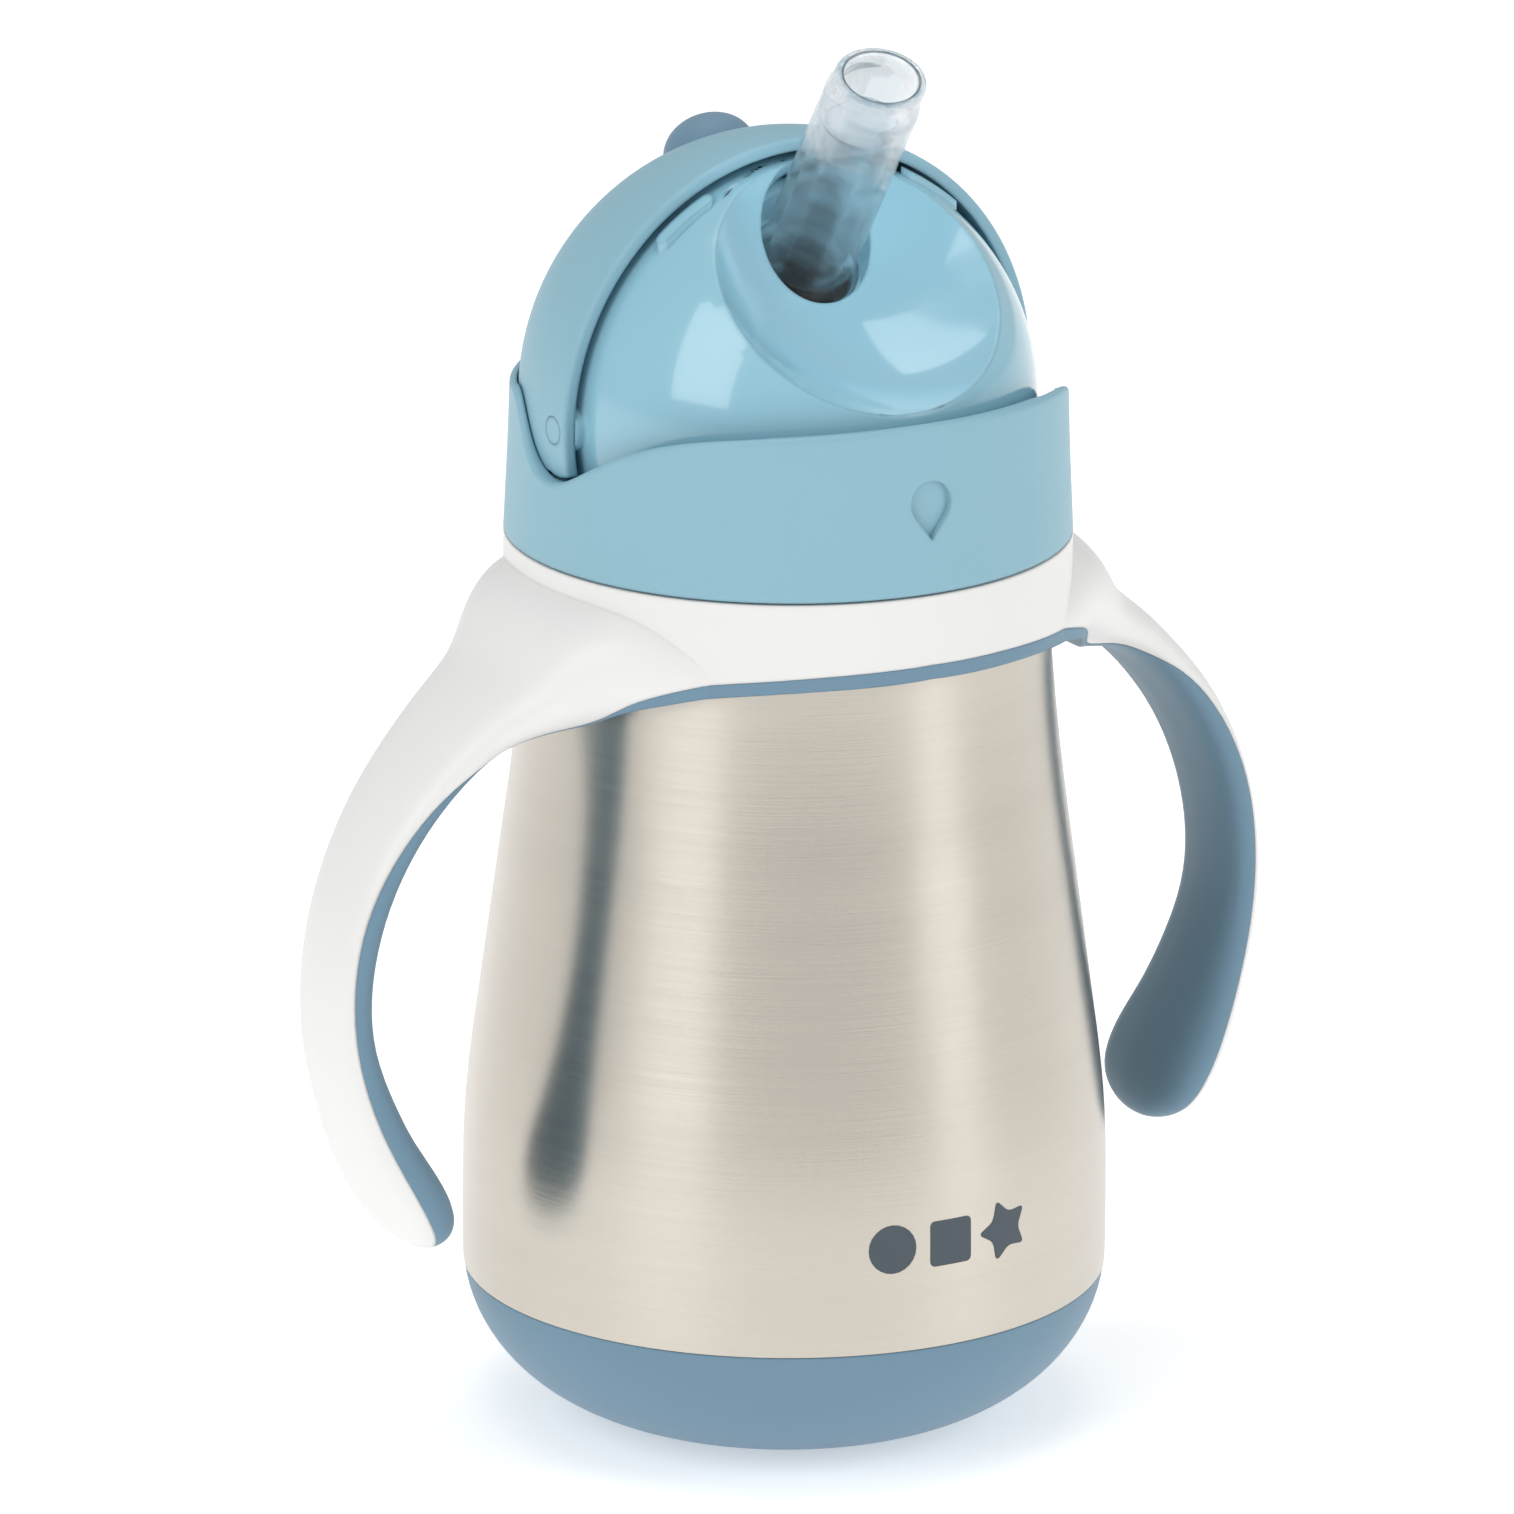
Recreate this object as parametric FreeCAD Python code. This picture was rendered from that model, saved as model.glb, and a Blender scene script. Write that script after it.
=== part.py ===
"""Toddler's straw cup: double-walled steel vessel, handle ring, screw lid, rotating cover, folding spout.

Millimetres. Origin at the centre of the foot, +Z up, front of the cup towards -Y, handles along X.
"""

import FreeCAD, Part
import math
import os

V = FreeCAD.Vector
UP = V(0, 0, 1)
SIDE = V(1, 0, 0)
CENTRE = V(0, 0, 0)
FULL_TURN = 360.0
FAR = 60.0
TINY = 1e-6

# vessel
BODY_R = 40.0
WIDEST_Z = 20.5
SEAM_Z = 18.7
WALL = 0.6
BOOT_WALL = 2.1
FOOT_R = 15.8
NECK_SHOULDER_Z = 110.4
NECK_R = 30.9
MOUTH_R = 29.3
LIP_Z = 120.4
LIP_H = 0.8
INNER_WALL = 0.5
STEEL_OUTLINE = [
    (40.0, 20.5), (39.62, 40.0), (37.80, 55.0), (35.78, 70.0), (33.77, 85.0), (32.41, 100.0), (32.2, 109.6),
]
LINER_OUTLINE = [
    (36.8, 24.0), (36.4, 40.0), (34.6, 55.0), (32.6, 70.0), (30.9, 85.0), (29.9, 98.0), (29.8, 108.0),
]
LINER_BASE_Z = 6.5

# screw thread of the neck and the lid
LEAD = 3.6
THREAD_TURNS = 1.1
THREAD_START_Z = 114.4
THREAD_CREST_R = 32.2
LID_THREAD_R = 32.9
LID_CREST_R = 31.6
RIDGE_ROOT_HALF = 0.9
RIDGE_CREST_HALF = 0.45
RIDGE_BITE = 0.3

# handle ring
RING_R = 35.0
RING_TOP_Z = 113.0
RING_BORE_GAP = 0.15
RING_SEAT_Z = 111.6
RING_SEAT_R = 31.2

# lid
LID_BOTTOM_Z = 113.3
FRONT_RIM_Z = 134.4
REAR_RIM_Z = 131.8
NOTCH_Z = 123.6
COLLAR_INNER_R = 32.6
PIVOT_Z = 129.7
PIVOT = V(0, 0, PIVOT_Z)
DOME_R = 30.5
DOME_WALL = 1.6
FLANGE_Z = 122.05
FLANGE_H = 1.25
FLANGE_R = 32.5
DISH_R = 18.42
DISH_DEPTH = 7.3
DISH_TILT = 42.8
DISH_CENTRE = V(0, -16.81, 147.23)
STOP_RIB_X = 17.2
SPOUT_LEAN = 33.8
SPOUT_ROOT = V(0, -5.5, 150.5)
HOLE_R = 7.5
PIN_R = 1.7
PIN_INNER_X = 27.0
VENT_HOLE_R = 1.25
VENT_LEAN = 32.0

# rotating cover
COVER_R = 33.2
COVER_INNER_R = 31.7
COVER_GAP = 0.2
COVER_FRONT_Y = -2.6
COVER_REAR_Z = -1.2
ARM_END_R = 6.0
COVER_TURN = 76.0
GRIP_LEAN = 37.0

# silicone spout and straw
SPOUT_LENGTH = 29.3
SPOUT_HALF_X = 6.0
SPOUT_HALF_Y = 5.0
SPOUT_WALL = 1.3
FOLD_HEIGHT = 5.8
STRAW_R = 3.4
STRAW_BORE_R = 2.5
STRAW_Y = 8.0
STRAW_END_Z = 12.0
STRAW_BEND_R = 14.0

PARTS = {}


def lean_direction(degrees):
    """Unit vector leaning forward from vertical, or back when the angle is negative."""
    a = math.radians(degrees)
    return V(0, -math.sin(a), math.cos(a))


def xz(points):
    return [V(x, 0, z) for x, z in points]


def lines(points):
    pairs = zip(points, points[1:])
    return [Part.LineSegment(a, b).toShape() for a, b in pairs if a.distanceToPoint(b) > TINY]


def spline(points, start, end):
    curve = Part.BSplineCurve()
    curve.interpolate(Points=points, InitialTangent=start, FinalTangent=end)
    return curve.toShape()


def loose_spline(points):
    curve = Part.BSplineCurve()
    curve.interpolate(points)
    return curve.toShape()


def corner_edge(edge_r, edge_z, width, drop, below=0.0):
    """Quarter ellipse from a wall down to a flat base, starting `below` under its upper end."""
    centre = V(edge_r - width, 0, edge_z)
    ellipse = Part.Ellipse(centre + V(width, 0, 0), centre - V(0, 0, drop), centre)
    return ellipse.toShape(math.asin(below / drop), math.pi / 2)


def end_points(edge):
    return edge.valueAt(edge.FirstParameter), edge.valueAt(edge.LastParameter)


def revolved(edges):
    wire = Part.Wire(Part.__sortEdges__(edges))
    return Part.Face(wire).revolve(CENTRE, UP, FULL_TURN)


def ring(inner_r, outer_r, low_z, high_z):
    outer = Part.makeCylinder(outer_r, high_z - low_z, V(0, 0, low_z))
    if inner_r <= 0:
        return outer
    return outer.cut(Part.makeCylinder(inner_r, high_z - low_z, V(0, 0, low_z)))


def extruded_yz(points, half_x=FAR):
    """Prism along X over a closed outline in the YZ plane."""
    outline = [V(-half_x, y, z) for y, z in points]
    return Part.Face(Part.makePolygon(outline + outline[:1])).extrude(V(2 * half_x, 0, 0))


def helical_ridge(root_r, crest_r, turn_offset):
    """Trapezoid thread ridge, bitten a little into the wall that carries it."""
    bite = -RIDGE_BITE if crest_r > root_r else RIDGE_BITE
    z = THREAD_START_Z
    outline = [
        V(root_r + bite, 0, z - RIDGE_ROOT_HALF),
        V(crest_r, 0, z - RIDGE_CREST_HALF),
        V(crest_r, 0, z + RIDGE_CREST_HALF),
        V(root_r + bite, 0, z + RIDGE_ROOT_HALF),
    ]
    profile = Part.makePolygon(outline + outline[:1])
    path = Part.makeHelix(LEAD, LEAD * THREAD_TURNS, root_r)
    path.translate(V(0, 0, z))
    ridge = Part.Wire(path.Edges).makePipeShell([profile], True, True)
    ridge.rotate(CENTRE, UP, turn_offset)
    return ridge


def steel_side(offset):
    points = xz([(r + offset, z) for r, z in STEEL_OUTLINE])
    return spline(points, UP, UP)


def real_edges(shape):
    return [e for e in shape.Edges if not e.Degenerated and e.Length > 0.01]


def on_sphere(edge, centre, radius):
    return all(abs(p.distanceToPoint(centre) - radius) < 0.02 for p in edge.discretize(5))


def soften(shape, radius, wanted):
    """Round the edges that wanted() picks."""
    return shape.makeFillet(radius, [e for e in real_edges(shape) if wanted(e)])


def add(name, shape):
    shape = shape.removeSplitter()
    if len(shape.Solids) == 1:
        shape = shape.Solids[0]
    PARTS[name] = shape


# ---------------------------------------------------------------- vessel


def boot_corner(inset):
    """Lower outline of the boot, inset by a wall thickness."""
    width = BODY_R - FOOT_R - inset
    return corner_edge(BODY_R - inset, WIDEST_Z, width, WIDEST_Z - inset, WIDEST_Z - SEAM_Z)


def base_boot():
    outer = boot_corner(0)
    inner = boot_corner(BOOT_WALL)
    outer_top, outer_foot = end_points(outer)
    inner_top, inner_foot = end_points(inner)
    dish = V(FOOT_R - 4, 0, 0.6)
    rest = lines([inner_top, outer_top])
    under = lines([outer_foot, V(FOOT_R - 3, 0, 0), dish, V(0, 0, 0.6), V(0, 0, BOOT_WALL), inner_foot])
    add("base_boot", revolved([outer, inner] + rest + under))


def outer_shell():
    """Spun outer wall from the welded base edge up to the threaded neck."""
    low_outer = boot_corner(BOOT_WALL + 0.1)
    low_inner = boot_corner(BOOT_WALL + 0.1 + WALL)
    seam_outer, base_outer = end_points(low_outer)
    seam_inner, base_inner = end_points(low_inner)
    side_outer = steel_side(0)
    side_inner = steel_side(-WALL)
    foot_outer, top_outer = end_points(side_outer)
    foot_inner, top_inner = end_points(side_inner)
    step = V(foot_outer.x - 0.08, 0, SEAM_Z)
    step_inner = V(foot_inner.x - 0.08, 0, SEAM_Z + WALL)
    inner_lift = V(seam_inner.x, 0, SEAM_Z + WALL)
    lip = LIP_Z - LIP_H
    outer_path = [top_outer, V(top_outer.x, 0, NECK_SHOULDER_Z)]
    outer_path += [V(NECK_R, 0, NECK_SHOULDER_Z + 0.8), V(NECK_R, 0, lip)]
    inner_path = [V(NECK_R - WALL, 0, lip), V(NECK_R - WALL, 0, NECK_SHOULDER_Z + 0.4)]
    inner_path += [V(top_inner.x, 0, NECK_SHOULDER_Z - 0.4), top_inner]
    edges = [low_outer, low_inner, side_outer, side_inner]
    edges += lines([seam_outer, step, foot_outer])
    edges += lines(outer_path + inner_path)
    edges += lines([foot_inner, step_inner, inner_lift, seam_inner])
    edges += lines([base_inner, base_outer])
    shell = revolved(edges)
    add("outer_shell", shell.fuse(helical_ridge(NECK_R, THREAD_CREST_R, 0)))


def shell_base():
    low = BOOT_WALL + 0.1
    plug_r = 2.0
    add("shell_base", ring(plug_r, FOOT_R - 0.02, low, low + WALL))
    add("vacuum_plug", ring(0, plug_r, low, low + WALL + 0.3))


def inner_vessel():
    """Drinking vessel: side with the rolled lip that closes the double wall, and the welded floor pan."""

    def outline(inset):
        side = spline(xz([(r - inset, z) for r, z in LINER_OUTLINE]), UP, UP)
        low_r, low_z = LINER_OUTLINE[0]
        floor = corner_edge(low_r - inset, low_z, 20 - inset, low_z - LINER_BASE_Z - inset)
        return side, floor

    side_out, floor_out = outline(0)
    side_in, floor_in = outline(INNER_WALL)
    neck_out = NECK_R - WALL - 0.5
    under_lip = LIP_Z - LIP_H
    rim = [V(neck_out, 0, under_lip), V(NECK_R, 0, under_lip)]
    rim += [V(NECK_R, 0, LIP_Z - 0.25), V(NECK_R - 0.25, 0, LIP_Z)]
    rim += [V(MOUTH_R + 0.25, 0, LIP_Z), V(MOUTH_R, 0, LIP_Z - 0.25)]
    edges = [side_out, side_in]
    edges += lines([end_points(side_out)[1]] + rim + [end_points(side_in)[1]])
    edges += lines([end_points(side_out)[0], end_points(side_in)[0]])
    add("inner_vessel", revolved(edges))
    foot_out = end_points(floor_out)[1]
    foot_in = end_points(floor_in)[1]
    pan = [floor_out, floor_in]
    pan += lines([end_points(floor_out)[0], end_points(floor_in)[0]])
    pan += lines([foot_out, V(0, 0, foot_out.z), V(0, 0, foot_in.z), foot_in])
    add("inner_floor", revolved(pan))


# ---------------------------------------------------------------- handle ring

# Middle line of one handle in the XZ plane with half thickness and half width at each station.
HANDLE_STATIONS = [
    (24.0, 102.6, 9.8, 25.0),
    (29.0, 102.4, 9.6, 21.8),
    (33.2, 101.6, 8.6, 18.2),
    (37.0, 99.6, 6.6, 14.8),
    (41.0, 97.4, 4.5, 12.2),
    (45.3, 95.1, 3.4, 10.4),
    (50.4, 90.9, 2.8, 9.2),
    (55.2, 85.4, 2.75, 8.3),
    (59.2, 78.8, 2.75, 7.6),
    (62.0, 71.3, 2.8, 7.1),
    (63.3, 63.3, 2.85, 6.8),
    (62.9, 55.8, 3.0, 7.0),
    (60.9, 48.6, 3.35, 7.8),
    (58.0, 41.7, 3.75, 9.0),
    (54.4, 35.3, 3.9, 9.6),
]
TIP = (51.6, 28.8)
GRIP_LINE = [
    (0, 104.3), (12, 104.0), (20.4, 103.3), (28, 101.8), (32.4, 99.4), (35.2, 96.4), (40, 95.0),
    (46, 92.6), (52, 88.9), (58, 82.4), (62.4, 73.8), (64.2, 64.5), (63.6, 55.0), (60.6, 45.0),
    (56.2, 36.0), (52.6, 29.4), (48.6, 23.0),
]
UNDER_LINE = [
    (0, 102.5), (12, 102.2), (20.4, 101.6), (28, 100.1), (32.4, 98.1), (34.8, 96.0), (37.6, 93.9),
    (40.5, 92.4), (43.6, 90.2),
]
SQUARENESS = 2.5
SECTION_POINTS = 16
TIP_SHARES = (0.45, 0.75, 0.93)


def handle_section(centre, along, half_t, half_w):
    """Closed rounded outline across the handle, thickness in the XZ plane and width along Y."""
    across = V(along.z, 0, -along.x)
    points = []
    for k in range(SECTION_POINTS):
        a = 2 * math.pi * (k + 0.5) / SECTION_POINTS
        c = math.cos(a)
        s = math.sin(a)
        u = half_t * math.copysign(abs(c) ** (2 / SQUARENESS), c)
        w = half_w * math.copysign(abs(s) ** (2 / SQUARENESS), s)
        points.append(centre + across * u + V(0, w, 0))
    curve = Part.BSplineCurve()
    curve.interpolate(Points=points, PeriodicFlag=True)
    return Part.Wire(curve.toShape())


def handle(side):
    """One C handle, from inside the ring to its rounded free end."""
    middle = Part.BSplineCurve()
    centres = xz([(x, z) for x, z, _, _ in HANDLE_STATIONS] + [TIP])
    middle.interpolate(centres)
    wires = []
    for centre, (_, _, half_t, half_w) in zip(centres, HANDLE_STATIONS):
        along = middle.tangent(middle.parameter(centre))[0]
        wires.append(handle_section(centre, along, half_t, half_w))
    last, tip = centres[-2], centres[-1]
    _, _, half_t, half_w = HANDLE_STATIONS[-1]
    for share in TIP_SHARES:
        at = middle.value(middle.parameter(last + (tip - last) * share))
        along = middle.tangent(middle.parameter(at))[0]
        round_off = math.sqrt(1 - share**2)
        wires.append(handle_section(at, along, half_t * round_off, half_w * round_off))
    wires.append(Part.Vertex(tip))
    solid = Part.makeLoft(wires, True, False)
    return solid if side > 0 else solid.mirror(CENTRE, SIDE)


def below_line(line, low):
    """Everything under a line mirrored about X = 0, as a prism through Y."""
    right = [V(x, -FAR, z) for x, z in line]
    left = [V(-x, -FAR, z) for x, z in line]
    upper = [loose_spline(right), loose_spline(left)]
    end_r, end_l = right[-1], left[-1]
    base = lines([end_r, V(end_r.x, -FAR, low), V(end_l.x, -FAR, low), end_l])
    wire = Part.Wire(Part.__sortEdges__(upper + base))
    return Part.Face(wire).extrude(V(0, 2 * FAR, 0))


def vessel_clearance():
    """Solid of the steel body grown by the gap that the handle ring keeps to it."""
    side = steel_side(RING_BORE_GAP)
    low, high = end_points(side)
    above = [high, V(high.x, 0, RING_SEAT_Z), V(RING_SEAT_R, 0, RING_SEAT_Z), V(RING_SEAT_R, 0, 200)]
    return revolved([side] + lines(above + [V(0, 0, 200), V(0, 0, low.z), low]))


def handle_ring():
    band = ring(RING_SEAT_R, RING_R, 91.0, RING_TOP_Z)
    whole = band.fuse([handle(1), handle(-1)])
    whole = whole.cut([vessel_clearance(), below_line(UNDER_LINE, 60)])
    soft = below_line(GRIP_LINE, 10)
    add("handle_ring", whole.cut(soft))
    add("handle_soft_grip", whole.common(soft))


# ---------------------------------------------------------------- lid


def above_rim():
    """Space above the wavy rim: high in front, a notch at each side for the cover's arms, level behind."""
    front = [(-36, FRONT_RIM_Z + 0.1), (-28, FRONT_RIM_Z - 0.9), (-20, 132.0), (-13, 129.2), (-7, 125.8)]
    middle = [(-1.2, NOTCH_Z), (3.6, 125.0), (6.8, 128.6)]
    rear = [(9.5, REAR_RIM_Z - 0.5), (14, REAR_RIM_Z), (36, REAR_RIM_Z)]
    curve = loose_spline([V(-FAR, y, z) for y, z in front + middle + rear[:2]])
    start, end = end_points(curve)
    far_rear = V(-FAR, 50, REAR_RIM_Z)
    frame = lines([end, far_rear, V(-FAR, 50, 160), V(-FAR, -50, 160), V(-FAR, -50, start.z), start])
    wire = Part.Wire(Part.__sortEdges__([curve] + frame))
    return Part.Face(wire).extrude(V(2 * FAR, 0, 0))


def cover_clearance():
    """Space inside the collar that the cover sweeps: its two ends, behind the dome and in front when shut."""
    ball = Part.makeSphere(COVER_R + COVER_GAP, PIVOT)
    ends = []
    for step in range(5):
        a = math.radians(COVER_TURN * step / 4)
        reach = ARM_END_R + COVER_FRONT_Y
        centre = V(-FAR, reach * math.cos(a), PIVOT_Z + reach * math.sin(a))
        ends.append(Part.makeCylinder(ARM_END_R + 0.4, 2 * FAR, centre, SIDE))
    ends.append(Part.makeCylinder(ARM_END_R + 0.4, 2 * FAR, V(-FAR, 0, PIVOT_Z), SIDE))
    low_rear = PIVOT_Z + COVER_REAR_Z - 0.4
    rear = extruded_yz([(0, low_rear), (50, low_rear), (50, 190), (0, 190)])
    turn = math.radians(COVER_TURN)

    def shut_edge(y):
        return PIVOT_Z + (COVER_FRONT_Y - y * math.cos(turn)) / math.sin(turn) - 0.4

    front = extruded_yz([(0, shut_edge(0)), (-50, shut_edge(-50)), (-50, 190), (0, 190)])
    return ball.common(rear.fuse([front] + ends))


def drop_dimple():
    """Shallow drop-shaped mark in the front of the collar, pointed end down."""
    round_r = 2.7
    top_z = 127.2
    point_z = 119.9
    centre_z = top_z - round_r
    reach = centre_z - point_z
    half = math.acos(round_r / reach)
    a = math.pi / 2 - half
    contact_r = V(round_r * math.cos(-a), 0, centre_z + round_r * math.sin(-a))
    contact_l = V(-contact_r.x, 0, contact_r.z)
    arc = Part.Arc(contact_r, V(0, 0, top_z), contact_l).toShape()
    wire = Part.Wire([arc] + lines([contact_l, V(0, 0, point_z), contact_r]))
    face = Part.Face(wire)
    face.translate(V(0, -36, 0))
    prism = face.extrude(V(0, 3, 0))
    return prism.cut(Part.makeCylinder(34.5 - 0.7, 40, V(0, 0, 110)))


def lid_collar():
    outer = xz([(35.0, LID_BOTTOM_Z), (34.72, 119.0), (34.5, 124.0), (34.3, 130.0), (34.05, 137.0)])
    wall = loose_spline(outer)
    ledge_z = FLANGE_Z + FLANGE_H + 0.1
    inner = [
        outer[-1],
        V(COLLAR_INNER_R, 0, 137.0),
        V(COLLAR_INNER_R, 0, ledge_z + 2.2),
        V(LID_CREST_R, 0, ledge_z + 1.2),
        V(LID_CREST_R, 0, ledge_z),
        V(LID_THREAD_R, 0, ledge_z),
        V(LID_THREAD_R, 0, LID_BOTTOM_Z),
        outer[0],
    ]
    collar = revolved([wall] + lines(inner))
    collar = collar.fuse(helical_ridge(LID_THREAD_R, LID_CREST_R, 180))
    collar = collar.cut([above_rim(), cover_clearance(), drop_dimple()])

    def outer_rim(edge):
        points = edge.discretize(9)
        outside = all(math.hypot(p.x, p.y) > 33.9 for p in points)
        return outside and min(p.z for p in points) > NOTCH_Z - 0.2 and max(p.z for p in points) > 130

    add("lid_collar", soften(collar, 0.55, outer_rim))


def dish_axis():
    return lean_direction(DISH_TILT)


def dish_ball(extra=0.0):
    radius = (DISH_R**2 + DISH_DEPTH**2) / (2 * DISH_DEPTH)
    centre = DISH_CENTRE + dish_axis() * (radius - DISH_DEPTH)
    return Part.makeSphere(radius + extra, centre)


def spout_cylinder(radius, low, high):
    """Round bar on the spout's axis, from low to high along it, measured from the hole in the dish."""
    axis = lean_direction(SPOUT_LEAN)
    return Part.makeCylinder(radius, high - low, SPOUT_ROOT + axis * low, axis)


def stop_rib(x):
    """Low rib on the dome that stops the cover's front edge."""
    shell = Part.makeSphere(DOME_R + 0.85, PIVOT).cut(Part.makeSphere(DOME_R - 0.4, PIVOT))
    length = 7.6
    width = 1.9
    front_y = COVER_FRONT_Y - 0.6
    block = Part.makeBox(length, width, 30, V(x - length / 2, front_y - width, PIVOT_Z + 10))
    edges = [e for e in block.Edges if abs(e.tangentAt(e.FirstParameter).z) > 0.9]
    return shell.common(block.makeFillet(0.9, edges))


def lid_dome():
    above_flange = Part.makeBox(2 * FAR, 2 * FAR, 60, V(-FAR, -FAR, FLANGE_Z))
    skin = Part.makeSphere(DOME_R, PIVOT)
    hollow = Part.makeSphere(DOME_R - DOME_WALL, PIVOT)
    bowl = dish_ball(DOME_WALL).common(skin)
    boss = spout_cylinder(HOLE_R + 1.8, -6.5, 1.5).common(skin)
    flange = ring(DOME_R - DOME_WALL - 1.0, FLANGE_R, FLANGE_Z, FLANGE_Z + FLANGE_H)
    plug_low = LIP_Z - 2.6
    plug = ring(MOUTH_R - 1.9, MOUTH_R - 0.45, plug_low, FLANGE_Z + FLANGE_H)
    shell = skin.cut(hollow).common(above_flange)
    dome = shell.fuse([bowl, boss, flange, plug])
    for side in (-1, 1):
        inner = Part.makeCylinder(3.2, 3.4, V(side * 26.4, 0, PIVOT_Z), SIDE * side)
        spacer = Part.makeCylinder(3.0, 1.9, V(side * 29.6, 0, PIVOT_Z), SIDE * side)
        dome = dome.fuse([inner, spacer, stop_rib(side * STOP_RIB_X)])
    pins = Part.makeCylinder(PIN_R, 2 * FAR, V(-FAR, 0, PIVOT_Z), SIDE)
    pins = pins.cut(Part.makeCylinder(PIN_R + 1, 2 * PIN_INNER_X, V(-PIN_INNER_X, 0, PIVOT_Z), SIDE))
    spout_way = [spout_cylinder(HOLE_R, -4.8, 20), spout_cylinder(SPOUT_HALF_X + 0.5, -8, 0)]
    add("lid_dome", dome.cut([dish_ball(), pins, vent_bar(VENT_HOLE_R)] + spout_way))


def vent_direction():
    return lean_direction(-VENT_LEAN)


def vent_bar(radius, low=25.0, high=33.0):
    direction = vent_direction()
    return Part.makeCylinder(radius, high - low, PIVOT + direction * low, direction)


def air_vent_valve():
    """Umbrella valve: thin cap over the hole, stem, and a bulb that holds it from inside."""
    cap = vent_bar(3.0, DOME_R + 0.02, DOME_R + 0.75)
    stem = vent_bar(1.15, DOME_R - 3.0, DOME_R + 0.3)
    bulb = Part.makeSphere(1.75, PIVOT + vent_direction() * (DOME_R - DOME_WALL - 1.8))
    add("air_vent_valve", cap.fuse([stem, bulb]))


def pivot_pins():
    for side, name in ((-1, "pivot_pin_left"), (1, "pivot_pin_right")):
        length = COVER_R - PIN_INNER_X - 0.05
        add(name, Part.makeCylinder(PIN_R, length, V(side * PIN_INNER_X, 0, PIVOT_Z), SIDE * side))


def lid_gasket():
    add("lid_gasket", ring(MOUTH_R - 0.3, NECK_R + 0.4, LIP_Z + 0.05, FLANGE_Z - 0.05))


# ---------------------------------------------------------------- cover


def rotating_cover():
    """Quarter-turn cover: a rear half shell with a rounded end on each pivot."""
    front = COVER_FRONT_Y
    low = PIVOT_Z + COVER_REAR_Z
    half = extruded_yz([(front, low), (50, low), (50, 190), (front, 190)])
    ends = Part.makeCylinder(ARM_END_R, 2 * FAR, V(-FAR, ARM_END_R + front, PIVOT_Z), SIDE)
    ends = ends.fuse(Part.makeCylinder(ARM_END_R, 2 * FAR, V(-FAR, 0, PIVOT_Z), SIDE))
    in_front = extruded_yz([(-50, 100), (front, 100), (front, 200), (-50, 200)])
    form = half.fuse(ends.cut(in_front))
    shell = Part.makeSphere(COVER_R, PIVOT).cut(Part.makeSphere(COVER_INNER_R, PIVOT))
    cover = shell.common(form)
    bore = Part.makeCylinder(PIN_R + 0.05, 2 * FAR, V(-FAR, 0, PIVOT_Z), SIDE)
    cover = cover.cut([bore, cover_nub()])

    def outer_rim(edge):
        low_or_front = all(p.y < 5 or p.z < PIVOT_Z + 5 for p in edge.discretize(5))
        away_from_bore = all((p - PIVOT).cross(SIDE).Length > PIN_R + 1 for p in edge.discretize(5))
        return on_sphere(edge, PIVOT, COVER_R) and low_or_front and away_from_bore

    add("rotating_cover", soften(cover, 0.5, outer_rim))


def cover_nub():
    """Soft round thumb grip standing out of the cover behind its top."""
    nub = Part.makeSphere(5.8)
    flatten = FreeCAD.Matrix()
    flatten.scale(V(1, 1, 0.8))
    nub = nub.transformGeometry(flatten)
    nub.rotate(CENTRE, SIDE, -GRIP_LEAN)
    nub.translate(PIVOT + lean_direction(-GRIP_LEAN) * (COVER_R - 0.3))
    return nub


def cover_thumb_grip():
    inside = Part.makeSphere(COVER_INNER_R + 0.35, PIVOT)
    add("cover_thumb_grip", cover_nub().cut(inside))


# ---------------------------------------------------------------- spout and straw


def oval_bar(half_x, half_y, low, high):
    """Oval bar on the spout's axis."""
    oval = Part.Ellipse(V(half_x, 0, 0), V(0, half_y, 0), V(0, 0, 0)).toShape()
    bar = Part.Face(Part.Wire(oval)).extrude(V(0, 0, high - low))
    bar.rotate(CENTRE, SIDE, SPOUT_LEAN)
    bar.translate(SPOUT_ROOT + lean_direction(SPOUT_LEAN) * low)
    return bar


def spout_base():
    """Root of the silicone spout: stub, flange under the dish and socket for the straw."""
    flange_top = -6.6
    flange = spout_cylinder(HOLE_R + 1.6, flange_top - 1.6, flange_top)
    stub = oval_bar(SPOUT_HALF_X, SPOUT_HALF_Y, flange_top, FOLD_HEIGHT)
    bead = spout_cylinder(HOLE_R - 0.4, -4.7, -3.6)
    socket = spout_cylinder(STRAW_R + 1.5, flange_top - 9.0, flange_top)
    bore = oval_bar(SPOUT_HALF_X - SPOUT_WALL, SPOUT_HALF_Y - SPOUT_WALL, flange_top + 0.5, FOLD_HEIGHT)
    straw_way = spout_cylinder(STRAW_R, flange_top - 9.0, flange_top + 0.5)
    add("spout_base", stub.fuse([flange, bead, socket]).cut([bore, straw_way]))


def spout_tube():
    tube = oval_bar(SPOUT_HALF_X, SPOUT_HALF_Y, FOLD_HEIGHT + 0.05, SPOUT_LENGTH)
    bore = oval_bar(SPOUT_HALF_X - SPOUT_WALL, SPOUT_HALF_Y - SPOUT_WALL, FOLD_HEIGHT, SPOUT_LENGTH)
    add("spout_tube", tube.cut(bore))


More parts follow.
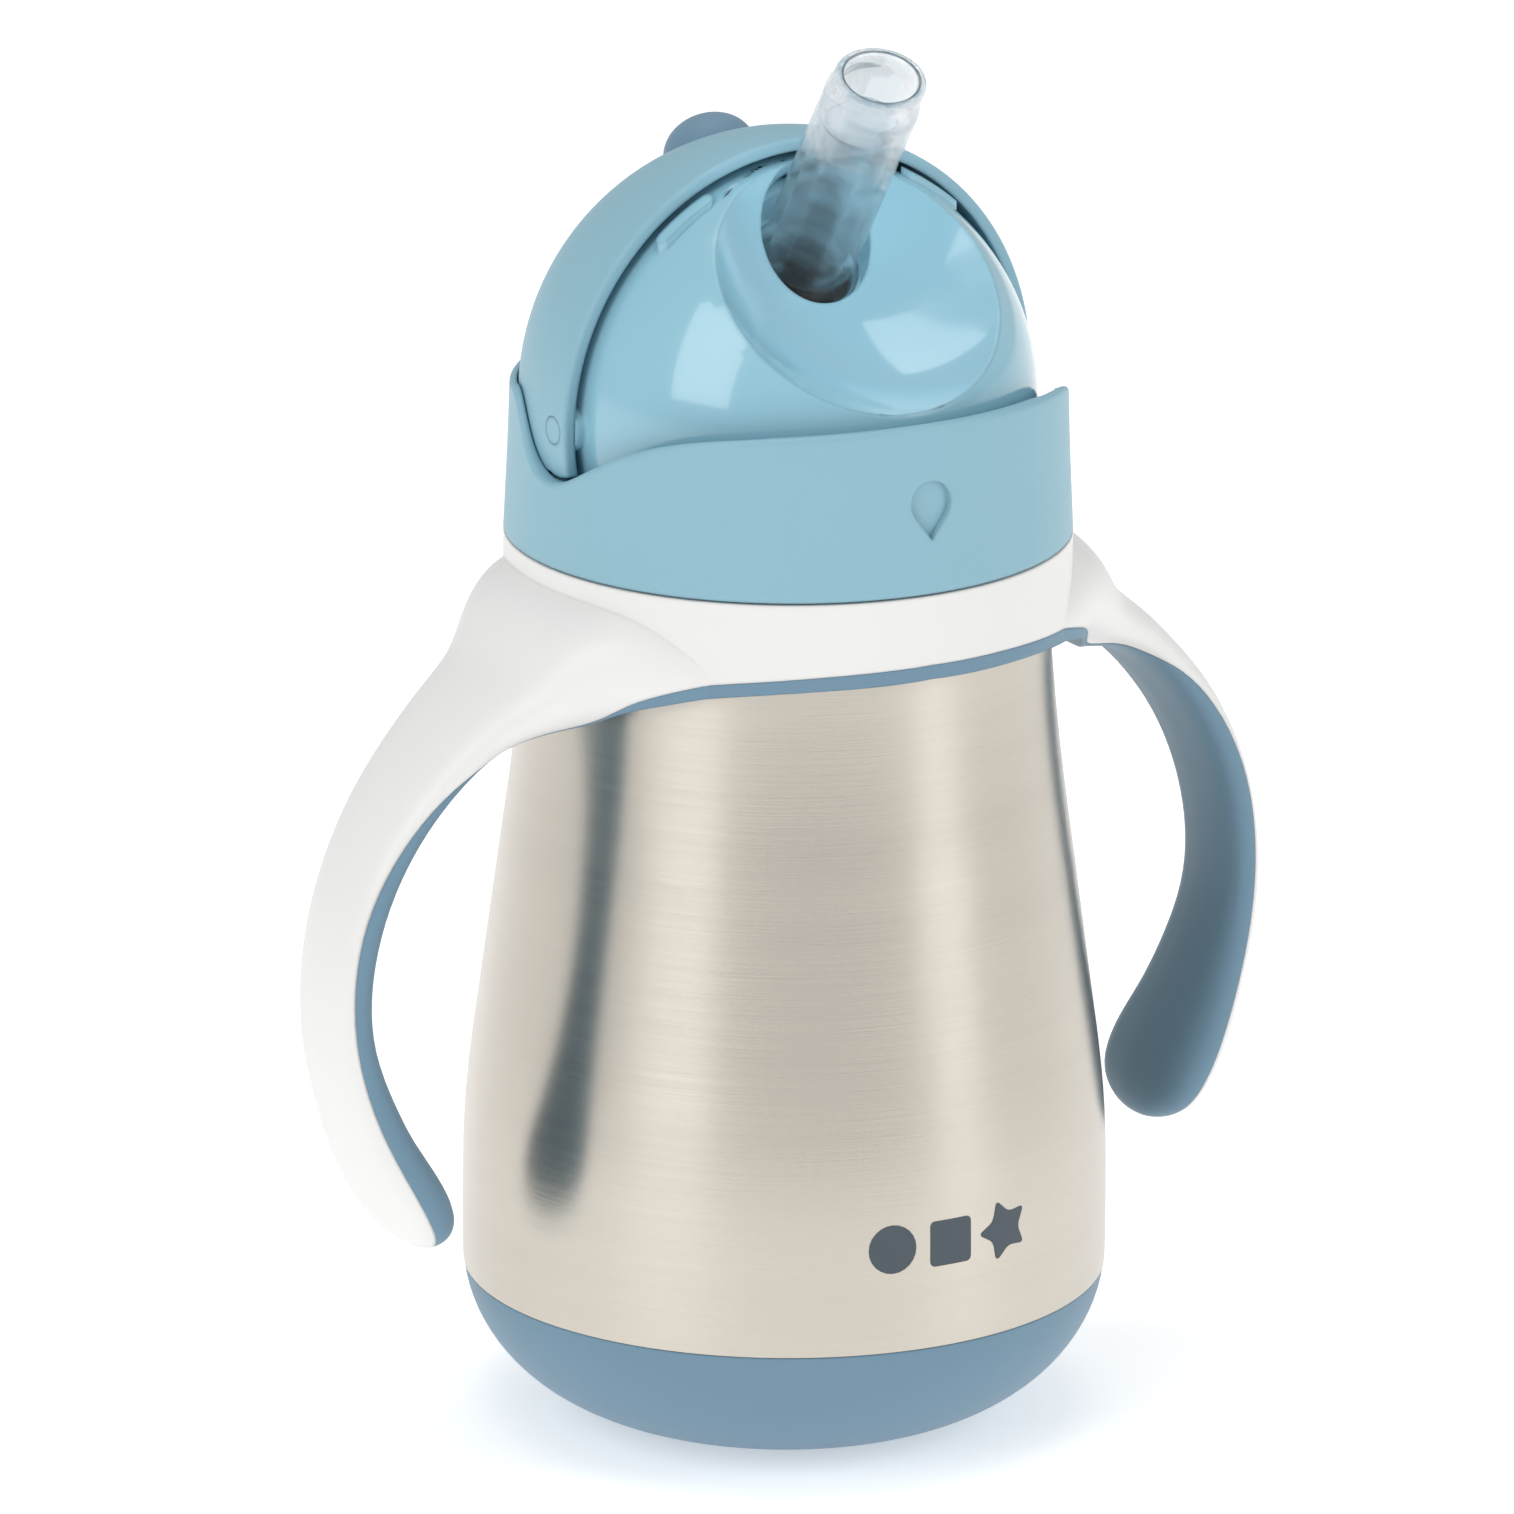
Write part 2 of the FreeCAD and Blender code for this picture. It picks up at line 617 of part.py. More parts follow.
def lower_straw():
    """Straw from the spout's socket, bent once to run straight down the vessel."""
    axis = lean_direction(SPOUT_LEAN)
    half_bend = math.radians(SPOUT_LEAN) / 2
    top = SPOUT_ROOT - axis * 7.5
    knee = top - axis * ((STRAW_Y - top.y) / -axis.y)
    before = knee + axis * (STRAW_BEND_R * math.tan(half_bend))
    after = knee - UP * (STRAW_BEND_R * math.tan(half_bend))
    to_centre = axis - UP
    to_centre.normalize()
    middle = knee + to_centre * (STRAW_BEND_R / math.cos(half_bend) - STRAW_BEND_R)
    bend = Part.Arc(before, middle, after).toShape()
    path = Part.Wire(lines([top, before]) + [bend] + lines([after, V(0, STRAW_Y, STRAW_END_Z)]))
    tubes = []
    for radius in (STRAW_R, STRAW_BORE_R):
        circle = Part.Wire(Part.Circle(top, axis, radius).toShape())
        tubes.append(path.makePipeShell([circle], True, True))
    add("lower_straw", tubes[0].cut(tubes[1]))


def build():
    base_boot()
    outer_shell()
    shell_base()
    inner_vessel()
    handle_ring()
    lid_collar()
    lid_dome()
    air_vent_valve()
    pivot_pins()
    lid_gasket()
    rotating_cover()
    cover_thumb_grip()
    spout_base()
    spout_tube()
    lower_straw()


build()
os.makedirs("parts", exist_ok=True)
for part_name, part_shape in PARTS.items():
    part_shape.exportStep(f"parts/{part_name}.step")
    box = part_shape.BoundBox
    low = (round(box.XMin, 2), round(box.YMin, 2), round(box.ZMin, 2))
    high = (round(box.XMax, 2), round(box.YMax, 2), round(box.ZMax, 2))
    print(part_name, part_shape.isValid(), len(part_shape.Solids), round(part_shape.Volume), low, high)
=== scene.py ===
import bpy
import math
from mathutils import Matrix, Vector


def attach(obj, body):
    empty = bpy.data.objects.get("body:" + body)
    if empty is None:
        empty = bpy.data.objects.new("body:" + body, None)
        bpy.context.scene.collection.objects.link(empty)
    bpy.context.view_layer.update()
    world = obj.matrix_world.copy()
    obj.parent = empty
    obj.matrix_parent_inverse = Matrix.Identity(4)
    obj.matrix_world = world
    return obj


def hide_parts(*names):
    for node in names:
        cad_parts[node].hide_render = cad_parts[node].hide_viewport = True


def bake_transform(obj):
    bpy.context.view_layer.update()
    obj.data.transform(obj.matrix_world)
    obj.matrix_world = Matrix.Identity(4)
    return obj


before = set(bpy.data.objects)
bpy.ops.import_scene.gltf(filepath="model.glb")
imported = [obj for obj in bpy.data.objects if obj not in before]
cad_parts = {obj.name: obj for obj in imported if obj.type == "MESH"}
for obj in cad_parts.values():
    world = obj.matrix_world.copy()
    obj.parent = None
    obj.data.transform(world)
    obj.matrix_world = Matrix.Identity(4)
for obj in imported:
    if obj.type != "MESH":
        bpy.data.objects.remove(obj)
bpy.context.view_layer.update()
MM = 0.001

# the spout's place on the lid, in metres
SPOUT_FOOT = Vector((0, -5.5 * MM, 150.5 * MM))
SPOUT_LEAN = math.radians(33.8)
SPOUT_OVAL = 0.84
SPOUT_OVAL_FROM = -3.0 * MM

# the boot's outline, in millimetres
CORNER_CENTRE_R = 15.8
CORNER_TOP_Z = 20.5
CORNER_START = 6.0

# the steel side near the mark and the mark's own places, in millimetres
SIDE_R = 40.0
SIDE_SQUARE = 0.000105
SIDE_CUBE = -0.0000566
MARK_Z = 32.0
PRINT_THICKNESS = 0.04

# share of light that goes straight through the clear parts
CLEAR_SHARE = 0.42


# ------------------------------------------------------------ modelling

def deselect():
    bpy.ops.object.select_all(action="DESELECT")


def pick(obj):
    deselect()
    bpy.context.view_layer.objects.active = obj
    obj.select_set(True)


def place_into_mesh(obj):
    pick(obj)
    bpy.ops.object.transform_apply(location=True, rotation=True, scale=True)


def into_edit(obj):
    pick(obj)
    bpy.ops.object.mode_set(mode="EDIT")


def out_of_edit():
    bpy.ops.object.mode_set(mode="OBJECT")


def settle(obj, angle=40):
    """Place goes into the mesh, normals outward, shading smooth up to the angle."""
    place_into_mesh(obj)
    bpy.ops.object.mode_set(mode="EDIT")
    bpy.ops.mesh.select_all(action="SELECT")
    bpy.ops.mesh.remove_doubles(threshold=0.00001)
    bpy.ops.mesh.normals_make_consistent(inside=False)
    out_of_edit()
    bpy.ops.object.shade_smooth_by_angle(angle=math.radians(angle))
    return obj


def turned(name, outline, steps=144):
    """A closed outline of (radius, height) spun round the vertical axis."""
    deselect()
    radius, height = outline[0]
    bpy.ops.mesh.primitive_plane_add(size=0.0002, location=(radius, 0, height))
    obj = bpy.context.object
    obj.name = name
    bpy.ops.object.mode_set(mode="EDIT")
    bpy.ops.mesh.select_all(action="SELECT")
    bpy.ops.mesh.merge(type="CENTER")
    for (r0, z0), (r1, z1) in zip(outline, outline[1:] + outline[:1]):
        bpy.ops.mesh.extrude_region_move(TRANSFORM_OT_translate={"value": (r1 - r0, 0, z1 - z0)})
    bpy.ops.mesh.select_all(action="SELECT")
    bpy.ops.mesh.remove_doubles(threshold=0.000005)
    bpy.ops.mesh.spin(steps=steps, angle=math.tau, center=(0, 0, 0), axis=(0, 0, 1))
    bpy.ops.mesh.select_all(action="SELECT")
    bpy.ops.mesh.remove_doubles(threshold=0.000005)
    out_of_edit()
    return obj


def rounded(points, radii, steps=5):
    """The outline with an arc at each corner: radii has one value a corner, 0 for a sharp one."""
    out = []
    count = len(points)
    for k, radius in enumerate(radii):
        here = Vector(points[k])
        back = (Vector(points[k - 1]) - here).normalized()
        on = (Vector(points[(k + 1) % count]) - here).normalized()
        if radius <= 0:
            out.append(tuple(here))
            continue
        half = back.angle(on) / 2
        reach = radius / math.tan(half)
        start, end = here + back * reach, here + on * reach
        centre = here + (back + on).normalized() * (radius / math.sin(half))
        for s in range(steps + 1):
            spoke = (start - centre).lerp(end - centre, s / steps).normalized() * radius
            out.append(tuple(centre + spoke))
    return out


def in_mm(outline):
    return [(r * MM, z * MM) for r, z in outline]


def finish_piece(obj, body, material):
    obj.data.materials.clear()
    obj.data.materials.append(material)
    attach(obj, body)


# ------------------------------------------------------------ shader groups

def new_group(name, inputs, outputs):
    """Node group with named sockets: (name, kind, default) for inputs and (name, kind) for outputs."""
    group = bpy.data.node_groups.new(name, "ShaderNodeTree")
    for label, kind, value in inputs:
        socket = group.interface.new_socket(name=label, in_out="INPUT", socket_type=kind)
        socket.default_value = value
    for label, kind in outputs:
        group.interface.new_socket(name=label, in_out="OUTPUT", socket_type=kind)
    return group, group.nodes.new("NodeGroupInput"), group.nodes.new("NodeGroupOutput")


def add(tree, kind, **values):
    """A node with its properties and its inputs' values set by name."""
    node = tree.nodes.new(kind)
    for key, value in values.items():
        if key in node.inputs:
            node.inputs[key].default_value = value
        else:
            setattr(node, key, value)
    return node


def wire(tree, source, target):
    tree.links.new(source, target)


def moulded_surface():
    """Moulded plastic and rubber: softened edges, fine grain and slow changes in roughness and colour."""
    group, given, out = new_group(
        "moulded_surface",
        [("Colour", "NodeSocketColor", (0.5, 0.5, 0.5, 1)), ("Edge radius", "NodeSocketFloat", 0.0004),
         ("Grain size", "NodeSocketFloat", 3000.0), ("Grain depth", "NodeSocketFloat", 0.1),
         ("Roughness", "NodeSocketFloat", 0.4), ("Roughness change", "NodeSocketFloat", 0.05),
         ("Colour change", "NodeSocketFloat", 0.03)],
        [("Colour", "NodeSocketColor"), ("Roughness", "NodeSocketFloat"), ("Normal", "NodeSocketVector")])
    place = add(group, "ShaderNodeTexCoord").outputs["Object"]
    grain = add(group, "ShaderNodeTexNoise", Detail=2.0)
    wire(group, place, grain.inputs["Vector"])
    wire(group, given.outputs["Grain size"], grain.inputs["Scale"])
    slow = add(group, "ShaderNodeTexNoise", Scale=70.0, Detail=3.0)
    wire(group, place, slow.inputs["Vector"])
    edge = add(group, "ShaderNodeBevel", samples=6)
    wire(group, given.outputs["Edge radius"], edge.inputs["Radius"])
    bump = add(group, "ShaderNodeBump", Distance=0.0001)
    wire(group, given.outputs["Grain depth"], bump.inputs["Strength"])
    wire(group, grain.outputs["Fac"], bump.inputs["Height"])
    wire(group, edge.outputs["Normal"], bump.inputs["Normal"])
    wire(group, bump.outputs["Normal"], out.inputs["Normal"])
    change = add(group, "ShaderNodeMath", operation="MULTIPLY_ADD")
    wire(group, slow.outputs["Fac"], change.inputs[0])
    wire(group, given.outputs["Roughness change"], change.inputs[1])
    wire(group, given.outputs["Roughness"], change.inputs[2])
    wire(group, change.outputs[0], out.inputs["Roughness"])
    shade = add(group, "ShaderNodeHueSaturation")
    brightness = add(group, "ShaderNodeMath", operation="MULTIPLY_ADD")
    offset = add(group, "ShaderNodeMath", operation="SUBTRACT")
    offset.inputs[1].default_value = 0.5
    wire(group, slow.outputs["Fac"], offset.inputs[0])
    wire(group, offset.outputs[0], brightness.inputs[0])
    wire(group, given.outputs["Colour change"], brightness.inputs[1])
    brightness.inputs[2].default_value = 1.0
    wire(group, brightness.outputs[0], shade.inputs["Value"])
    wire(group, given.outputs["Colour"], shade.inputs["Color"])
    wire(group, shade.outputs["Color"], out.inputs["Colour"])
    return group


def brushed_surface():
    """Steel brushed round the body: fine lines, longer streaks and slow bands of tone."""
    group, given, out = new_group(
        "brushed_surface",
        [("Colour", "NodeSocketColor", (0.7, 0.68, 0.64, 1)), ("Line depth", "NodeSocketFloat", 0.1),
         ("Roughness", "NodeSocketFloat", 0.3), ("Roughness change", "NodeSocketFloat", 0.1),
         ("Streaks", "NodeSocketFloat", 0.1)],
        [("Colour", "NodeSocketColor"), ("Roughness", "NodeSocketFloat"), ("Normal", "NodeSocketVector")])
    place = add(group, "ShaderNodeTexCoord").outputs["Object"]
    parts = []
    for stretch, rise in ((60.0, 9000.0), (25.0, 2600.0), (14.0, 160.0)):
        mapping = add(group, "ShaderNodeMapping", Scale=(stretch, stretch, rise))
        wire(group, place, mapping.inputs["Vector"])
        noise = add(group, "ShaderNodeTexNoise", Scale=1.0, Detail=2.0)
        wire(group, mapping.outputs["Vector"], noise.inputs["Vector"])
        parts.append(noise.outputs["Fac"])
    fine, streak, band = parts
    bump = add(group, "ShaderNodeBump", Distance=0.00005)
    wire(group, given.outputs["Line depth"], bump.inputs["Strength"])
    wire(group, fine, bump.inputs["Height"])
    wire(group, bump.outputs["Normal"], out.inputs["Normal"])
    change = add(group, "ShaderNodeMath", operation="MULTIPLY_ADD")
    wire(group, streak, change.inputs[0])
    wire(group, given.outputs["Roughness change"], change.inputs[1])
    wire(group, given.outputs["Roughness"], change.inputs[2])
    wire(group, change.outputs[0], out.inputs["Roughness"])
    both = add(group, "ShaderNodeMath", operation="ADD")
    wire(group, streak, both.inputs[0])
    wire(group, band, both.inputs[1])
    centred = add(group, "ShaderNodeMath", operation="SUBTRACT")
    wire(group, both.outputs[0], centred.inputs[0])
    centred.inputs[1].default_value = 1.0
    tone = add(group, "ShaderNodeMath", operation="MULTIPLY_ADD")
    wire(group, centred.outputs[0], tone.inputs[0])
    wire(group, given.outputs["Streaks"], tone.inputs[1])
    tone.inputs[2].default_value = 1.0
    shade = add(group, "ShaderNodeHueSaturation")
    wire(group, tone.outputs[0], shade.inputs["Value"])
    wire(group, given.outputs["Colour"], shade.inputs["Color"])
    wire(group, shade.outputs["Color"], out.inputs["Colour"])
    return group


MOULDED = moulded_surface()
BRUSHED = brushed_surface()


# ------------------------------------------------------------ materials

def new_material(name):
    material = bpy.data.materials.new(name)
    material.use_nodes = True
    tree = material.node_tree
    tree.nodes.clear()
    shader = tree.nodes.new("ShaderNodeBsdfPrincipled")
    output = tree.nodes.new("ShaderNodeOutputMaterial")
    wire(tree, shader.outputs["BSDF"], output.inputs["Surface"])
    return material, tree, shader, output


def dress(name, group, values, **constants):
    """Material whose colour, roughness and normal come from a surface group; the rest is constant."""
    material, tree, shader, _ = new_material(name)
    surface = tree.nodes.new("ShaderNodeGroup")
    surface.node_tree = group
    for key, value in values.items():
        surface.inputs[key].default_value = value
    wire(tree, surface.outputs["Colour"], shader.inputs["Base Color"])
    wire(tree, surface.outputs["Roughness"], shader.inputs["Roughness"])
    wire(tree, surface.outputs["Normal"], shader.inputs["Normal"])
    for key, value in constants.items():
        shader.inputs[key.replace("_", " ")].default_value = value
    return material, tree, shader


def soft_touch_material():
    return dress(
        "soft_grey_blue_rubber", MOULDED,
        {"Colour": (0.15, 0.262, 0.355, 1), "Edge radius": 0.0005, "Grain size": 5200.0,
         "Grain depth": 0.12, "Roughness": 0.50, "Roughness change": 0.08, "Colour change": 0.05},
        Sheen_Weight=0.12, Sheen_Roughness=0.45, Specular_IOR_Level=0.35)[0]


def white_material():
    return dress(
        "satin_white_plastic", MOULDED,
        {"Colour": (0.79, 0.79, 0.775, 1), "Edge radius": 0.0006, "Grain size": 3600.0,
         "Grain depth": 0.05, "Roughness": 0.36, "Roughness change": 0.06, "Colour change": 0.01},
        Subsurface_Weight=0.08, Subsurface_Radius=(1.0, 1.0, 1.0), Subsurface_Scale=0.0015)[0]


def matte_blue_material():
    return dress(
        "fine_matte_blue_plastic", MOULDED,
        {"Colour": (0.25, 0.46, 0.555, 1), "Edge radius": 0.0007, "Grain size": 4200.0,
         "Grain depth": 0.10, "Roughness": 0.40, "Roughness change": 0.07, "Colour change": 0.04})[0]


def gloss_blue_material():
    return dress(
        "polished_blue_plastic", MOULDED,
        {"Colour": (0.275, 0.53, 0.645, 1), "Edge radius": 0.0009, "Grain size": 900.0,
         "Grain depth": 0.012, "Roughness": 0.13, "Roughness change": 0.05, "Colour change": 0.03},
        Coat_Weight=0.7, Coat_Roughness=0.05)[0]


def steel_material():
    material, tree, shader = dress(
        "brushed_champagne_steel", BRUSHED,
        {"Colour": (0.59, 0.55, 0.485, 1), "Line depth": 0.3, "Roughness": 0.25,
         "Roughness change": 0.12, "Streaks": 0.10},
        Metallic=1.0, Anisotropic=0.7, Anisotropic_Rotation=0.25)
    tangent = tree.nodes.new("ShaderNodeTangent")
    tangent.direction_type = "RADIAL"
    tangent.axis = "Z"
    wire(tree, tangent.outputs["Tangent"], shader.inputs["Tangent"])
    return material


def inner_steel_material():
    return dress(
        "polished_inner_steel", BRUSHED,
        {"Colour": (0.72, 0.71, 0.69, 1), "Line depth": 0.08, "Roughness": 0.22, "Roughness change": 0.08,
         "Streaks": 0.06},
        Metallic=1.0)[0]


def plug_material():
    return dress(
        "dull_seal_metal", MOULDED,
        {"Colour": (0.45, 0.45, 0.45, 1), "Grain size": 2500.0, "Grain depth": 0.3, "Roughness": 0.5,
         "Roughness change": 0.2, "Colour change": 0.2},
        Metallic=1.0)[0]


def clear_material(name, tint, roughness, grain_depth):
    """Clear silicone or plastic that lets light through to what is behind it."""
    material, tree, shader = dress(
        name, MOULDED,
        {"Colour": tint, "Edge radius": 0.0002, "Grain size": 700.0, "Grain depth": grain_depth,
         "Roughness": roughness, "Roughness change": 0.03, "Colour change": 0.01},
        IOR=1.30, Transmission_Weight=0.97, Specular_IOR_Level=0.75)
    output = [n for n in tree.nodes if n.type == "OUTPUT_MATERIAL"][0]
    light_path = tree.nodes.new("ShaderNodeLightPath")
    through = tree.nodes.new("ShaderNodeBsdfTransparent")
    through.inputs["Color"].default_value = (0.94, 0.965, 0.98, 1)
    share = add(tree, "ShaderNodeMath", operation="MAXIMUM")
    share.inputs[1].default_value = CLEAR_SHARE
    wire(tree, light_path.outputs["Is Shadow Ray"], share.inputs[0])
    mix = tree.nodes.new("ShaderNodeMixShader")
    wire(tree, share.outputs[0], mix.inputs["Fac"])
    wire(tree, shader.outputs["BSDF"], mix.inputs[1])
    wire(tree, through.outputs["BSDF"], mix.inputs[2])
    wire(tree, mix.outputs["Shader"], output.inputs["Surface"])
    return material


def print_material():
    return dress(
        "slate_print", MOULDED,
        {"Colour": (0.055, 0.075, 0.095, 1), "Edge radius": 0.00002, "Grain size": 2500.0,
         "Grain depth": 0.05, "Roughness": 0.45, "Roughness change": 0.05, "Colour change": 0.05})[0]


SOFT = soft_touch_material()
WHITE = white_material()
MATTE = matte_blue_material()
GLOSS = gloss_blue_material()
STEEL = steel_material()
INNER = inner_steel_material()
PLUG = plug_material()
SILICONE = clear_material("clear_silicone", (0.985, 0.992, 1.0, 1), 0.03, 0.05)
STRAW = clear_material("clear_straw", (0.94, 0.96, 0.97, 1), 0.08, 0.02)
PRINT = print_material()


# ------------------------------------------------------------ nodes kept from the frame

KEPT = {
    "outer_shell": STEEL, "shell_base": STEEL, "vacuum_plug": PLUG,
    "inner_vessel": INNER, "inner_floor": INNER,
    "handle_ring": WHITE, "handle_soft_grip": SOFT,
    "lid_collar": MATTE, "lid_dome": GLOSS, "lid_gasket": SILICONE, "air_vent_valve": SILICONE,
    "pivot_pin_left": MATTE, "pivot_pin_right": MATTE,
    "rotating_cover": MATTE, "cover_thumb_grip": SOFT, "lower_straw": STRAW,
}


def dress_kept_nodes():
    for name, material in KEPT.items():
        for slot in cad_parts[name].material_slots:
            slot.material = material


# ------------------------------------------------------------ base boot

def boot_curve(width, drop, first, last, steps):
    """Quarter ellipse between two angles in degrees, measured down from level."""
    points = []
    for k in range(steps + 1):
        a = math.radians(first + (last - first) * k / steps)
        points.append((CORNER_CENTRE_R + width * math.cos(a), CORNER_TOP_Z - drop * math.sin(a)))
    return points


def base_boot():
    """Soft boot with a rounded top lip, a full curve to the foot and a shallow recess under it."""
    outer = boot_curve(24.15, CORNER_TOP_Z, CORNER_START, 90, 24)
    inner = boot_curve(22.05, 18.35, 90, CORNER_START, 18)
    lip = [(39.3, 18.62), (39.62, 18.68), (39.82, 18.55)]
    recess = [(14.2, 0.0), (12.9, 0.08), (12.3, 0.5), (11.8, 0.62)]
    under = recess + [(6.0, 0.62), (5.7, 0.5), (5.4, 0.62)]
    axis = [(0.0, 0.62), (0.0, 2.14)]
    boot = turned("soft_boot", in_mm(lip + outer[1:] + under + axis + inner[:-1]), 168)
    settle(boot, 50)
    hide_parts("base_boot")
    finish_piece(boot, "vessel", SOFT)


# ------------------------------------------------------------ spout

def spout():
    """One silicone moulding: flange under the dish, root bead, tube and rolled mouth; the slit valve is
    built apart by slit_valve.
    """
    outside = [(5.98, 29.2), (5.98, -2.2)]
    bead = [(7.0, -3.2), (7.1, -4.6), (6.1, -5.2), (6.1, -6.6)]
    flange = [(9.0, -6.6), (9.0, -8.1), (4.9, -8.1)]
    socket = [(4.9, -15.4), (3.45, -15.4), (3.45, -7.6)]
    inside = [(4.3, -6.4), (4.7, -4.0), (4.75, 29.2)]
    radii = [0.5, 1.2, 0.4, 0.4, 0.3, 0.2, 0.3, 0.4, 0.5, 0.4, 0.4, 0.6, 0.6, 0.6, 0.45]
    outline = rounded(outside + bead + flange + socket + inside, radii, 4)
    body = turned("silicone_spout", in_mm([(4.9, 29.1)] + outline), 72)
    into_edit(body)
    for rise in range(-2, 29):
        bpy.ops.mesh.select_all(action="SELECT")
        bpy.ops.mesh.bisect(plane_co=(0, 0, (rise + 0.5) * MM), plane_no=(0, 0, 1))
    out_of_edit()
    for vertex in body.data.vertices:
        vertex.select = vertex.co.z > SPOUT_OVAL_FROM
    into_edit(body)
    bpy.ops.transform.resize(value=(1, SPOUT_OVAL, 1))
    out_of_edit()
    return body


def slit_valve():
    """Duck-bill inside the tube: two lips that slope down from the wall and meet at a slit."""
    deselect()
    top = (0, 0, 21.5 * MM)
    bpy.ops.mesh.primitive_circle_add(vertices=48, radius=4.9 * MM, fill_type="NOTHING", location=top)
    valve = bpy.context.object
    valve.name = "spout_slit_valve"
    bpy.ops.object.mode_set(mode="EDIT")
    bpy.ops.mesh.select_all(action="SELECT")
    bpy.ops.transform.resize(value=(1, SPOUT_OVAL, 1))
    for drop, along, across in ((1.1, 0.97, 0.80), (1.4, 0.96, 0.66), (1.7, 0.95, 0.45), (1.6, 0.95, 0.22)):
        bpy.ops.mesh.extrude_region_move(TRANSFORM_OT_translate={"value": (0, 0, -drop * MM)})
        bpy.ops.transform.resize(value=(along, across, 1))
    bpy.ops.mesh.select_all(action="SELECT")
    bpy.ops.mesh.normals_make_consistent(inside=False)
    out_of_edit()
    wall = valve.modifiers.new("wall", "SOLIDIFY")
    wall.thickness = 0.55 * MM
    wall.offset = 0
    soften = valve.modifiers.new("soften", "SUBSURF")
    soften.levels = 2
    soften.render_levels = 2
    for modifier in ("wall", "soften"):
        bpy.ops.object.modifier_apply(modifier=modifier)
    return valve


def lean_with_spout(obj):
    """From upright at the origin to the spout's place on the lid."""
    place_into_mesh(obj)
    obj.rotation_euler = (SPOUT_LEAN, 0, 0)
    obj.location = SPOUT_FOOT
    place_into_mesh(obj)


def silicone_spout():
    body = spout()
    valve = slit_valve()
    for piece in (body, valve):
        lean_with_spout(piece)
        settle(piece, 60)
    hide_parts("spout_base", "spout_tube")
    body.data.materials.clear()
    body.data.materials.append(SILICONE)
    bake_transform(body)
    finish_piece(valve, "spout", SILICONE)


# ------------------------------------------------------------ printed mark

def body_radius(z):
    """Radius of the steel body at a height, between the heights where the mark is printed."""
    rise = z / MM - CORNER_TOP_Z
    return (SIDE_R + SIDE_SQUARE * rise ** 2 + SIDE_CUBE * rise ** 3) * MM


def printed_shape(name, corners, turn, size, along, inset=0.0):
    """Thin printed shape, wrapped round the lower body."""
    deselect()
    centre = Vector((along, 0, MARK_Z)) * MM
    bpy.ops.mesh.primitive_circle_add(vertices=corners, radius=size * MM, fill_type="NGON",
                                      location=centre, rotation=(math.pi / 2, 0, 0))
    shape = bpy.context.object
    shape.name = name
    place_into_mesh(shape)
    bpy.ops.object.mode_set(mode="EDIT")
    bpy.ops.mesh.select_all(action="SELECT")
    bpy.ops.transform.rotate(value=turn, orient_axis="Y", center_override=centre)
    out_of_edit()
    if inset:
        for vertex in shape.data.vertices:
            if vertex.index % 2:
                vertex.co = centre + (vertex.co - centre) * inset
    if corners < 12:
        into_edit(shape)
        bpy.ops.mesh.select_all(action="SELECT")
        bpy.ops.mesh.bevel(offset=size * 0.16 * MM, segments=4, affect="VERTICES")
        out_of_edit()
    into_edit(shape)
    for step in range(-8, 9):
        bpy.ops.mesh.select_all(action="SELECT")
        bpy.ops.mesh.bisect(plane_co=((along + (step + 0.37) * size / 8) * MM, 0, 0), plane_no=(1, 0, 0))
    bpy.ops.mesh.select_all(action="SELECT")
    bpy.ops.mesh.extrude_region_move(TRANSFORM_OT_translate={"value": (0, -PRINT_THICKNESS * MM, 0)})
    out_of_edit()
    for vertex in shape.data.vertices:
        radius = body_radius(vertex.co.z) + PRINT_THICKNESS * MM - vertex.co.y
        angle = vertex.co.x / radius
        vertex.co.x = radius * math.sin(angle)
        vertex.co.y = -radius * math.cos(angle)
    settle(shape, 30)
    return shape


